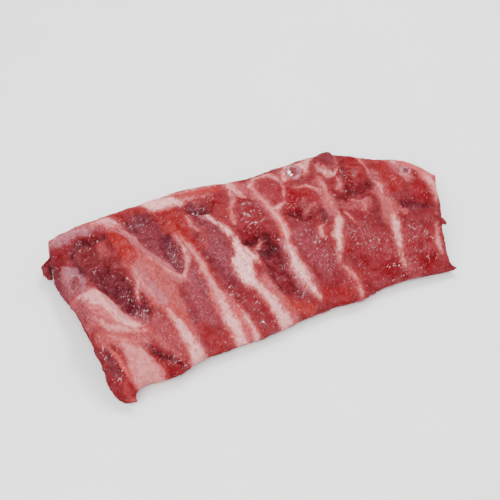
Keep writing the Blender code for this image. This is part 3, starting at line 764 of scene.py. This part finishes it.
def paint(points, down):
    """What the material reads at each point: flesh colour, fat and its paleness, film and wetness."""
    x, y, z = points.T
    wall = rising(down, 0.1, 0.5)
    side_x = x + 7 * fractal(x, y, z, 12, 76) * wall
    side_y = y + 5 * fractal(x, y, z, 9, 77) * wall
    flesh = flesh_colour(side_x, side_y)
    fat, pale = fat_depth(side_x, side_y)
    film = soft_layers(x, y, FILM, 3)
    wet = 0.15 + 0.85 * soft_layers(x, y, WET, 4)
    cut = linear(CUT_FACE) * (1 + 0.25 * fractal(x, y, z, 9, 73)[..., None])
    flesh = blend(flesh, cut, 0.8 * wall)
    fat = fat - 4 * rising(down, 0.15, 0.8) * (1 + 0.5 * noise(x, y, z, 6, 74))
    film = film * (1 - 0.7 * wall)
    below = down == BELOW
    flesh[below] = under_colour(x[below], y[below])
    rib = nearest_rib(x[below], y[below])
    fat[below] = 1.0 - np.abs(rib - 6.5) + 1.2 * fractal(x[below], y[below], 0, 10, 75)
    film[below] = 0.55
    wet[below] = 0.35
    pale[below] = 0.6
    return flesh, fat, pale, film, wet


def rib_coordinate(x, y):
    """Whole at each rib's line and even in between, so that lines of it fan out with the ribs."""
    crossings = []
    for (ax, ay), (bx, by) in rib_lines():
        crossings.append(ax + (y - ay) * (bx - ax) / (by - ay))
    crossings = [2 * crossings[0] - crossings[1]] + crossings + [2 * crossings[-1] - crossings[-2]]
    number = np.zeros(np.shape(x))
    for k, (left, right) in enumerate(zip(crossings, crossings[1:])):
        number = np.where(x >= left, k + np.clip((x - left) / (right - left), 0, 1), number)
    return number


def grain_at(x, y, z):
    """Coordinates in millimetres across the ribs and, shortened, along them: noise on them makes fibres."""
    return np.stack([rib_coordinate(x, y) * GRAIN_GAP, y / GRAIN_LONG, z], -1)


def slant_at(x, y, z):
    """The same for threads of film that cross the ribs on a slant."""
    return np.stack([(x - 1.15 * y) * 0.66, (x + 0.87 * y) / 9, z], -1)


def fine_relief(x, y, inside):
    """Lumps, fibres, crisp steps and raised fat on the upper face, fading out at the rim."""
    wx = x + 0.9 * noise(x, y, 0, 6, 51)
    wy = y + 1.3 * noise(x, y, 0, 7, 52)
    relief = LUMPS * fractal(x, y, 0, 10, 53) + RIPPLES * noise(x, y, 0, 3.2, 54)
    across, along, _ = np.moveaxis(grain_at(x, y, x * 0), -1, 0)
    relief = relief + FIBRES * fractal(across, along, 0, 1.7, 55, 2)
    for high, slope, points in STEPS:
        relief = relief + high * rising(stroke_depth(wx, wy, points), -slope, slope)
    relief = relief + FAT_RAISED * rising(fat_depth(x, y)[0], -0.6, 0.8)
    return relief * rising(inside, -1, 5)


def fine_top(s, t):
    x, y = plan(s, t)
    return top_height(s, t) + fine_relief(x, y, np.minimum(*rim_distances(s, t)))


def ragged_plan(s, t):
    """Plan positions with the rim drawn in here and there, as torn meat is."""
    x, y = plan(s, t)
    from_end, from_edge = rim_distances(s, t)
    torn = RIM_TORN * (fractal(x, y, 0, 6, 66) + 0.6 * noise(x, y, 0, 1.8, 67) - 0.7)
    torn = torn * rising(np.maximum(from_end, from_edge), 2, 10)
    x = x + torn * (1 - rising(from_end, 0, 5)) * np.sign(s - 0.5)
    y = y + torn * (1 - rising(from_edge, 0, 5)) * np.sign(0.5 - t)
    return drawn_out(x, y)


def drawn_out(x, y):
    """Plan positions near a tip of the slab, moved towards it and drawn to a point."""
    for tip_x, tip_y, far_x, far_y, near in TIPS:
        pull = (1 - np.clip(np.hypot(x - tip_x, y - tip_y) / near, 0, 1)) ** 2
        x, y = x + far_x * pull, y + far_y * pull
    return x, y


def under_points(share_s, share_t):
    """The under side, on every second share of the grid, with its rim drawn in a little."""
    s = UNDER_END + (1 - 2 * UNDER_END) * share_s[::2, ::2]
    t = UNDER_CHINE + (1 - UNDER_CHINE - UNDER_LOWER) * share_t[::2, ::2]
    x, y = drawn_out(*plan(s, t))
    z = under_height(s, t)
    z = z + rising(z, 1, 4) * (0.5 * fractal(x, y, 0, 8, 61) + 0.2 * noise(x, y, 0, 2.5, 62))
    return np.stack([x, y, z], -1)


def wall_rings(heads, feet):
    """Rings of points down the cut faces, from the upper rim to the lower, swelling and rough."""
    out = (heads - (*CENTRE, 0)) * (1, 1, 0)
    out /= np.linalg.norm(out, axis=1)[:, None]
    rings = []
    for row in range(1, WALL_ROWS + 1):
        share = row / (WALL_ROWS + 1)
        swell = math.sin(math.pi * share)
        ring = heads + (feet - heads) * share + out * WALL_BULGE * swell
        rough = fractal(*ring.T, 6, 63) * 0.6 + noise(*ring.T, 2, 64) * 0.35
        rings.append(ring + out * (rough * RAGGED * swell)[:, None])
    return rings


def slab_shape():
    """Points and faces of the fine slab, and for each point how far down the wall or under it lies."""
    share_s, share_t = np.meshgrid(crowded(COLUMNS), crowded(ROWS), indexing="ij")
    upper = np.stack([*ragged_plan(share_s, share_t), fine_top(share_s, share_t)], -1)
    under = under_points(share_s, share_t)
    loop = rim_loop()
    heads = np.array([upper[i, j] for i, j in loop])
    feet = np.array([under[i // 2, j // 2] for i, j in loop])
    feet[1::2] = ((feet + np.roll(feet, -2, 0)) / 2)[0::2]
    points = np.concatenate([upper.reshape(-1, 3), under.reshape(-1, 3), *wall_rings(heads, feet)])
    wall = np.repeat(np.arange(1, WALL_ROWS + 1) / (WALL_ROWS + 1), len(loop))
    down = np.concatenate([np.zeros(upper.size // 3), np.full(under.size // 3, BELOW), wall])
    return points, slab_faces(loop, len(points)), down


def slab_faces(loop, total):
    """Faces of the fine slab, in the order of the part's own: upper, under, and down the walls."""
    faces = grid_faces()
    count = len(loop)
    first = total - WALL_ROWS * count
    rings = [[top_at(*at) for at in loop]]
    rings += [list(range(first + row * count, first + (row + 1) * count)) for row in range(WALL_ROWS)]
    return faces + wall_faces(rings, loop)


def in_metres(points):
    return (np.asarray(points, float) - (*CENTRE, 0)) * MM


def make_piece(name, points, faces, material):
    """A smooth mesh from plan millimetres, kept inside the solids' own box."""
    low, high = np.array(CAD_BOX) / MM + (*CENTRE, 0)
    points = np.clip(points, low, high)
    mesh = bpy.data.meshes.new(name)
    mesh.from_pydata(in_metres(points), [], faces)
    mesh.update()
    mesh.shade_smooth()
    mesh.materials.append(material)
    piece = bpy.data.objects.new(name, mesh)
    bpy.context.scene.collection.objects.link(piece)
    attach(piece, "root")
    return piece


def add_values(piece, name, values):
    """Gives every point of a piece a number, a position or a colour that its material reads."""
    kinds = {1: ("FLOAT", "value"), 3: ("FLOAT_VECTOR", "vector"), 4: ("FLOAT_COLOR", "color")}
    kind, field = kinds[values.size // len(values)]
    layer = piece.data.attributes.new(name, kind, "POINT")
    layer.data.foreach_set(field, values.astype(np.float32).ravel())


def finish_meat(piece, flesh, numbers, grain, slant):
    """Gives a piece of meat all that its material reads, and its place in the part."""
    add_values(piece, "flesh", np.concatenate([flesh, np.ones((len(flesh), 1))], 1))
    for name, values in zip(("fat", "pale", "film", "wet"), numbers):
        add_values(piece, name, np.broadcast_to(np.float64(values), len(flesh)))
    add_values(piece, "grain", grain)
    add_values(piece, "slant", slant)
    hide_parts("meat")


def make_slab(material):
    points, faces, down = slab_shape()
    slab = make_piece("meat_surface", points, faces, material)
    flesh, *numbers = paint(points, down)
    finish_meat(slab, flesh, numbers, grain_at(*points.T), slant_at(*points.T))
    return slab


def ring_points(centre, across, upward, half_wide, half_high):
    """Points of an uneven oval round a centre, in the plane of two unit directions."""
    angles = 2 * math.pi * np.arange(BONE_SIDES) / BONE_SIDES
    uneven = 1 + UNEVEN * noise(np.cos(angles) + centre[0], np.sin(angles), 0, 0.7, 91)
    half_wide, half_high = half_wide * uneven, half_high * uneven
    wide = (half_wide * np.cos(angles))[:, None] * across
    high = (half_high * np.sin(angles))[:, None] * upward
    return centre + wide + high


def on_surface(tree, inside, heading, proud):
    """Where a line from a point inside the slab comes out, a little proud of the surface."""
    place, _, _, _ = tree.ray_cast(Vector(inside), Vector(heading))
    if place is None:
        return np.array(inside)
    return np.array(place) + np.array(heading) * proud


def sunk_ring(tree, centre, ring):
    """The ring, drawn in where it would come out of the slab's side."""
    points = []
    for point in ring:
        reach = np.linalg.norm(point - centre)
        heading = (point - centre) / reach
        place, _, _, far = tree.ray_cast(Vector(centre), Vector(heading))
        if place is not None:
            reach = min(reach, max(far - SUNK, 0.5))
        points.append(centre + heading * reach)
    return np.array(points)


def cap_rings(tree, centre, across, upward, half_wide, half_high, heading):
    """Rings from the rim of a cut bone end to its middle, laid on the slab's surface."""
    rings = []
    for share in CAP_SHARES:
        ring = ring_points(centre, across, upward, half_wide * share, half_high * share)
        ring = sunk_ring(tree, centre, ring)
        proud = CAP_PROUD * (1 - share**4)
        rings.append(np.array([on_surface(tree, p, heading, proud) for p in ring]))
    return rings


def rib_centre(line, lift, along, long):
    """Middle of a rib bone at that distance from its lower end, with its half width and half height."""
    (ax, ay), (bx, by) = line
    x, y = ax + (bx - ax) * along / long, ay + (by - ay) * along / long
    s, t = shares_at(x, y)
    head = float(rising(np.float64(along / long), HEAD_FROM, 1.0))
    middle = float(arch(s, t) + thickness(s, t) * BONE_DEPTH) + lift * head
    half_wide = (BONE_WIDE + (HEAD_WIDE - BONE_WIDE) * head) / 2
    half_high = (BONE_HIGH + (HEAD_HIGH - BONE_HIGH) * head) / 2
    return np.array([x, y, middle]), half_wide, half_high


def make_rib(number, line, lift, tree, material):
    """A rib bone that runs through the slab, with both its cut ends on the slab's surface."""
    (ax, ay), (bx, by) = line
    long = math.hypot(bx - ax, by - ay)
    across = np.array([-(by - ay), bx - ax, 0]) / long
    upward = np.array([0, 0, 1.0])
    stops = np.linspace(LOW_START, long - TOP_START, BONE_RINGS)
    middles = [rib_centre(line, lift, along, long) for along in stops]
    sides = [sunk_ring(tree, c, ring_points(c, across, upward, wide, high)) for c, wide, high in middles]
    caps = []
    for (end, wide, high), (before, _, _) in ((middles[0], middles[1]), (middles[-1], middles[-2])):
        heading = (end - before) / np.linalg.norm(end - before)
        caps.append(cap_rings(tree, end, across, upward, wide, high, heading))
    marrow = HEAD_MARROW if number == 1 else 1
    cores = [*CAP_SHARES[::-1], *[1.0] * BONE_RINGS, *[share * marrow for share in CAP_SHARES]]
    finish_bone(f"rib_bone_{number}", caps[0][::-1] + sides + caps[1], cores, material)


def make_stub(number, stub, tree, material):
    """A sawn piece of backbone, let into the upper face."""
    x, y, radius = stub
    across, along, upward = np.eye(3)
    s, t = shares_at(x, y)
    foot = np.array([x, y, float(top_height(np.float64(s), np.float64(t))) - STUB_DEEP])
    inner = ring_points(foot, across, along, radius * STUB_TAPER, radius * STUB_TAPER)
    rings = [inner] + cap_rings(tree, foot, across, along, radius, radius, upward)
    finish_bone(f"backbone_stub_{number}", rings, (1.0, *CAP_SHARES), material)


def smooth_path(knots, count):
    """Points and radii evenly along a smooth curve through rows of x, y, z and radius."""
    knots = np.array(knots, float)
    at = np.linspace(0, len(knots) - 1, count)
    return np.stack([through(tuple(enumerate(column)), at) for column in knots.T], -1)


def strand_rings(path, sides):
    """Rings round a path, upright across its heading, with an uneven skin."""
    angles = 2 * math.pi * np.arange(sides) / sides
    rings = []
    for before, here, after in zip((path[0], *path), path, (*path[1:], path[-1])):
        heading = math.atan2(after[1] - before[1], after[0] - before[0])
        side = here[3] * np.cos(angles)
        ring_x, ring_y = here[0] - math.sin(heading) * side, here[1] + math.cos(heading) * side
        ring = np.stack([ring_x, ring_y, here[2] + here[3] * np.sin(angles)], -1)
        swell = 1 + STRAND_ROUGH * noise(*ring.T, 2.2, 81)
        rings.append(here[:3] + (ring - here[:3]) * swell[:, None])
    return rings


def ring_faces(rings, sides):
    """Faces between rings of points, with both ends closed."""
    faces = [tuple(range(sides)), tuple(range(len(rings) * sides - 1, (len(rings) - 1) * sides - 1, -1))]
    for r in range(len(rings) - 1):
        for k in range(sides):
            a, b = r * sides + k, r * sides + (k + 1) % sides
            faces.append((a, b, b + sides, a + sides))
    return faces


def make_strand(name, knots, count, sides, tint, material):
    """A curled scrap or a loose flap of meat, in one colour and without fat."""
    rings = strand_rings(smooth_path(knots, count), sides)
    points = np.concatenate(rings)
    strand = make_piece(name, points, ring_faces(rings, sides), material)
    shade = 1 + 0.35 * fractal(*points.T, 2.5, 82)
    flesh = linear(tint) * shade[:, None]
    finish_meat(strand, flesh, STRAND_NUMBERS, points * (1, 0.3, 1), points * (0.4, 1, 1))


def finish_bone(node, rings, cores, material):
    """A bone from its rings, each with how near the rim it is; it takes the place of the node."""
    points = np.concatenate(rings)
    bone = make_piece(node + "_cut", points, ring_faces(rings, BONE_SIDES), material)
    add_values(bone, "core", np.repeat(cores, BONE_SIDES))
    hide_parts(node)


class Nodes:
    """Short calls for building one material's node tree."""

    def __init__(self, name):
        self.material = bpy.data.materials.new(name)
        self.material.use_nodes = True
        self.tree = self.material.node_tree
        self.shader = self.tree.nodes["Principled BSDF"]

    def add(self, kind, **settings):
        node = self.tree.nodes.new("ShaderNode" + kind)
        for key, value in settings.items():
            setattr(node, key, value)
        return node

    def feed(self, socket, value):
        if isinstance(value, bpy.types.NodeSocket):
            self.tree.links.new(value, socket)
        else:
            socket.default_value = value

    def value(self, name, output="Fac"):
        return self.add("Attribute", attribute_name=name).outputs[output]

    def put(self, name, value):
        self.feed(self.shader.inputs[name], value)

    def math(self, operation, a, b):
        node = self.add("Math", operation=operation)
        self.feed(node.inputs[0], a)
        self.feed(node.inputs[1], b)
        return node.outputs[0]

    def times(self, a, b):
        return self.math("MULTIPLY", a, b)

    def plus(self, a, b):
        return self.math("ADD", a, b)

    def scaled(self, vector, factor):
        node = self.add("VectorMath", operation="SCALE")
        self.feed(node.inputs[0], vector)
        node.inputs["Scale"].default_value = factor
        return node.outputs[0]

    def noise(self, vector, size, detail):
        node = self.add("TexNoise")
        self.feed(node.inputs["Vector"], vector)
        node.inputs["Scale"].default_value = 1 / size
        node.inputs["Detail"].default_value = detail
        node.inputs["Roughness"].default_value = FINER
        return node.outputs["Fac"]

    def rise(self, value, low, high, start=0.0, end=1.0):
        node = self.add("MapRange", interpolation_type="SMOOTHSTEP")
        for socket, number in zip(node.inputs, (value, low, high, start, end)):
            self.feed(socket, number)
        return node.outputs[0]

    def mix(self, share, a, b, how="MIX"):
        node = self.add("Mix", data_type="RGBA", blend_type=how)
        self.feed(node.inputs[0], share)
        self.feed(node.inputs[6], a)
        self.feed(node.inputs[7], b)
        return node.outputs[2]

    def tint(self, value):
        node = self.add("CombineColor")
        for socket in node.inputs[:3]:
            self.feed(socket, value)
        return node.outputs[0]

    def bump(self, height, distance):
        node = self.add("Bump")
        node.inputs["Distance"].default_value = distance
        self.feed(node.inputs["Height"], height)
        return node.outputs[0]

    def facets(self, vector, lean):
        """Turns the normal a little, by a fixed random step in each small cell: wet sparks."""
        cells = self.add("TexVoronoi")
        self.feed(cells.inputs["Vector"], vector)
        cells.inputs["Scale"].default_value = 1.0
        centred = self.add("VectorMath", operation="SUBTRACT")
        self.feed(centred.inputs[0], cells.outputs["Color"])
        centred.inputs[1].default_value = (0.5, 0.5, 0.5)
        added = self.add("VectorMath", operation="ADD")
        self.feed(added.inputs[0], self.add("NewGeometry").outputs["Normal"])
        self.feed(added.inputs[1], self.scaled(centred.outputs[0], lean))
        unit = self.add("VectorMath", operation="NORMALIZE")
        self.feed(unit.inputs[0], added.outputs[0])
        return unit.outputs[0]

    def turned(self, vector, stretch):
        """Coordinates in which cells are stretched along the slant of the wet glints."""
        node = self.add("Mapping", vector_type="TEXTURE")
        self.feed(node.inputs["Vector"], vector)
        node.inputs["Rotation"].default_value = (0, 0, math.radians(GLINT_TURN))
        node.inputs["Scale"].default_value = stretch
        return node.outputs[0]

    def millimetres(self):
        return self.scaled(self.add("TexCoord").outputs["Object"], 1000)


def shown(colour):
    """What a colour socket takes, for a colour given as it shows on screen."""
    return (*linear(colour), 1)


def meat_nodes():
    """The meat's node tree, with the values and textures that several of its layers share."""
    n = Nodes("wet_meat")
    n.place, n.grain = n.millimetres(), n.value("grain", "Vector")
    n.fat, n.wet = n.value("fat"), n.value("wet")
    n.fine, n.coarse = n.noise(n.place, 0.9, 3), n.noise(n.place, 3.0, 3)
    n.fibre, n.cross = n.noise(n.grain, 1.1, 3), n.noise(n.value("slant", "Vector"), 0.8, 3)
    return n


def fibrous_flesh(n):
    """The painted flesh with its fibres, darker and lighter patches, and pale flecks."""
    flesh = n.mix(1.0, n.value("flesh", "Color"), n.tint(n.rise(n.fibre, 0.3, 0.7, 0.82, 1.2)), "MULTIPLY")
    flesh = n.mix(1.0, flesh, n.tint(n.rise(n.coarse, 0.3, 0.7, 1.13, 0.88)), "MULTIPLY")
    flecks = n.times(n.rise(n.fine, 0.6, 0.68), n.rise(n.noise(n.grain, 0.5, 2), 0.52, 0.62))
    return n.mix(n.times(flecks, 0.4), flesh, shown(PALE))


def film_and_sheen_over(n, flesh):
    """Flesh under its thin streaky film and a faint painted sheen over all, and pinker close to the fat."""
    streaks = n.math("MAXIMUM", n.rise(n.fibre, 0.5, 0.68), n.rise(n.cross, 0.52, 0.66))
    film_sheen = n.times(n.value("film"), n.plus(n.times(streaks, 0.45), 0.12))
    # painted sheen: a faint pale haze over all the flesh, whether filmed or not
    film_sheen = n.plus(film_sheen, n.rise(n.noise(n.place, 7, 3), 0.35, 0.7, 0.0, 0.1))
    flesh = n.mix(film_sheen, flesh, shown(FILM_AND_SHEEN_TINT))
    halo = n.plus(n.fat, n.rise(n.coarse, 0.3, 0.7, -1.2, 1.2))
    halo = n.times(n.rise(halo, -4.5, 0.5), n.rise(n.cross, 0.3, 0.7, 0.25, 0.6))
    return n.mix(halo, flesh, shown(HALO))


def fat_over(n, flesh):
    """Fat with feathered edges, whiter deep inside and stained here and there."""
    feather = n.plus(n.times(n.fibre, 5.0), n.times(n.cross, 3.0))
    feather = n.plus(feather, n.times(n.fine, 1.4))
    depth = n.plus(n.fat, n.math("SUBTRACT", feather, 5.0))
    mottle, ribbon = n.noise(n.place, 3.2, 4), n.noise(n.grain, 1.5, 3)
    share = n.times(n.rise(depth, -2.0, 1.6), n.rise(mottle, 0.34, 0.6, 0.7, 0.97))
    inside = n.plus(n.fat, n.rise(ribbon, 0.3, 0.7, -1.5, 1.5))
    whiteness = n.times(n.rise(inside, -1.0, 4.0, 0.25, 1.0), n.value("pale"))
    fat = n.mix(whiteness, shown(FAT_PINK), shown(FAT_WHITE))
    stain = n.times(n.rise(n.coarse, 0.46, 0.72), n.rise(ribbon, 0.62, 0.4))
    fat = n.mix(n.times(stain, 0.65), fat, shown(FAT_STAIN))
    return n.mix(share, flesh, fat)


def glints_over(n, colour):
    """Painted highlights: thin slanting white glints laid into the colour, thickest where the meat is
    wettest.
    """
    painted_glints = n.rise(n.noise(n.turned(n.place, PAINTED_GLINT_STRETCH), 0.9, 2), 0.62, 0.7)
    painted_glints = n.times(painted_glints, n.rise(n.noise(n.place, 5, 2), 0.42, 0.62, 0.1, 1.0))
    painted_glints = n.times(painted_glints, n.rise(n.wet, 0.1, 0.8, 0.25, 0.8))
    return n.mix(painted_glints, colour, shown(GLINT))


def meat_material():
    n = meat_nodes()
    n.put("Base Color", glints_over(n, fat_over(n, film_and_sheen_over(n, fibrous_flesh(n)))))
    height = n.plus(n.times(n.fine, n.wet), n.times(n.plus(n.fibre, n.cross), 0.5))
    n.put("Normal", n.bump(height, MEAT_BUMP))
    n.put("Coat Normal", n.facets(n.turned(n.place, FACET_STRETCH), FACET_LEAN))
    clusters = n.plus(n.noise(n.place, 4.5, 2), n.times(n.wet, 0.3))
    n.put("Coat Weight", n.rise(clusters, 0.6, 0.85, 0.02, 0.32))
    n.put("Roughness", n.rise(n.fine, 0.3, 0.7, 0.4, 0.55))
    set_constants(n.shader)
    return n.material


def set_constants(shader):
    """The wet film over raw meat, and the light that spreads a little way inside it."""
    shader.inputs["Specular IOR Level"].default_value = 0.0
    shader.inputs["Coat Roughness"].default_value = 0.06
    shader.inputs["Coat IOR"].default_value = 1.38
    shader.inputs["Subsurface Weight"].default_value = 0.1
    shader.inputs["Subsurface Radius"].default_value = (1.0, 0.3, 0.25)
    shader.inputs["Subsurface Scale"].default_value = 0.0015


def bone_material():
    n = Nodes("damp_bone")
    place = n.millimetres()
    fine, coarse = n.noise(place, 0.7, 3), n.noise(place, 2.5, 2)
    core = n.plus(n.value("core"), n.times(n.math("SUBTRACT", coarse, 0.5), 0.9))
    marrow = n.mix(n.rise(fine, 0.4, 0.65), shown(MARROW), shown(MARROW_PALE))
    ring = n.mix(n.rise(coarse, 0.35, 0.65), shown(BONE_RING), shown(BONE_PALE))
    colour = n.mix(n.rise(core, 0.42, 0.8), marrow, ring)
    n.put("Base Color", n.mix(n.rise(core, 0.75, 1.0, 0.0, 0.85), colour, shown(BONE_RED)))
    n.put("Normal", n.bump(n.plus(fine, coarse), BONE_BUMP))
    n.put("Roughness", n.rise(fine, 0.3, 0.7, 0.32, 0.5))
    n.shader.inputs["Coat Weight"].default_value = 0.4
    set_constants(n.shader)
    return n.material


def floor_material():
    n = Nodes("pale_floor")
    cloud = n.noise(n.millimetres(), 60, 2)
    n.put("Base Color", n.mix(n.rise(cloud, 0.3, 0.7), *FLOOR_TINTS))
    n.shader.inputs["Roughness"].default_value = 0.8
    return n.material


def back_from(turn, rise):
    """Unit direction from the rack towards a camera or lamp at that turn and rise in degrees."""
    turn, rise = math.radians(turn), math.radians(rise)
    return Vector((math.sin(turn) * math.cos(rise), -math.cos(turn) * math.cos(rise), math.sin(rise)))


def make_camera():
    camera = bpy.data.objects.new("camera", bpy.data.cameras.new("camera"))
    camera.data.lens = CAMERA_LENS
    camera.data.sensor_width = CAMERA_SENSOR
    back = back_from(CAMERA_TURN, CAMERA_RISE)
    target = Vector((-CENTRE[0] * MM, -CENTRE[1] * MM, CAMERA_TARGET_Z))
    camera.location = target + back * CAMERA_FAR
    camera.rotation_euler = back.to_track_quat("Z", "Y").to_euler()
    bpy.context.scene.collection.objects.link(camera)
    bpy.context.scene.camera = camera


def make_light(name, turn, rise, far, size, watts, lights, mirrored):
    light = bpy.data.lights.new(name, "AREA")
    light.shape = "SQUARE"
    light.size = size
    light.energy = watts
    lamp = bpy.data.objects.new(name, light)
    lamp.visible_diffuse = lights
    lamp.visible_glossy = mirrored
    back = back_from(turn, rise)
    lamp.location = back * far
    lamp.rotation_euler = back.to_track_quat("Z", "Y").to_euler()
    bpy.context.scene.collection.objects.link(lamp)


def make_floor():
    half = FLOOR_HALF
    mesh = bpy.data.meshes.new("floor")
    corners = [(-half, -half, 0), (half, -half, 0), (half, half, 0), (-half, half, 0)]
    mesh.from_pydata(corners, [], [(0, 1, 2, 3)])
    mesh.materials.append(floor_material())
    floor = bpy.data.objects.new("floor", mesh)
    bpy.context.scene.collection.objects.link(floor)


def make_world():
    world = bpy.data.worlds.new("studio")
    world.use_nodes = True
    world.node_tree.nodes["Background"].inputs["Color"].default_value = (1, 1, 1, 1)
    world.node_tree.nodes["Background"].inputs["Strength"].default_value = WORLD_LIGHT
    world.cycles_visibility.glossy = False
    bpy.context.scene.world = world


def main():
    meat = meat_material()
    slab = make_slab(meat)
    points = np.array([v.co for v in slab.data.vertices]) / MM + (*CENTRE, 0)
    tree = BVHTree.FromPolygons(points.tolist(), [tuple(p.vertices) for p in slab.data.polygons])
    bone = bone_material()
    lifts = [FIRST_RIB_LIFT] + [0] * (RIB_COUNT - 1)
    for number, (line, lift) in enumerate(zip(rib_lines(), lifts), 1):
        make_rib(number, line, lift, tree, bone)
    for number, stub in enumerate(STUBS, 1):
        make_stub(number, stub, tree, bone)
    make_strand("dark_scrap", CURL, CURL_RINGS, CURL_SIDES, CURL_TINT, meat)
    make_strand("right_nib", NIB, NIB_RINGS, NIB_SIDES, NIB_TINT, meat)
    make_floor()
    make_world()
    for lamp in LAMPS:
        make_light(*lamp)
    make_camera()


main()
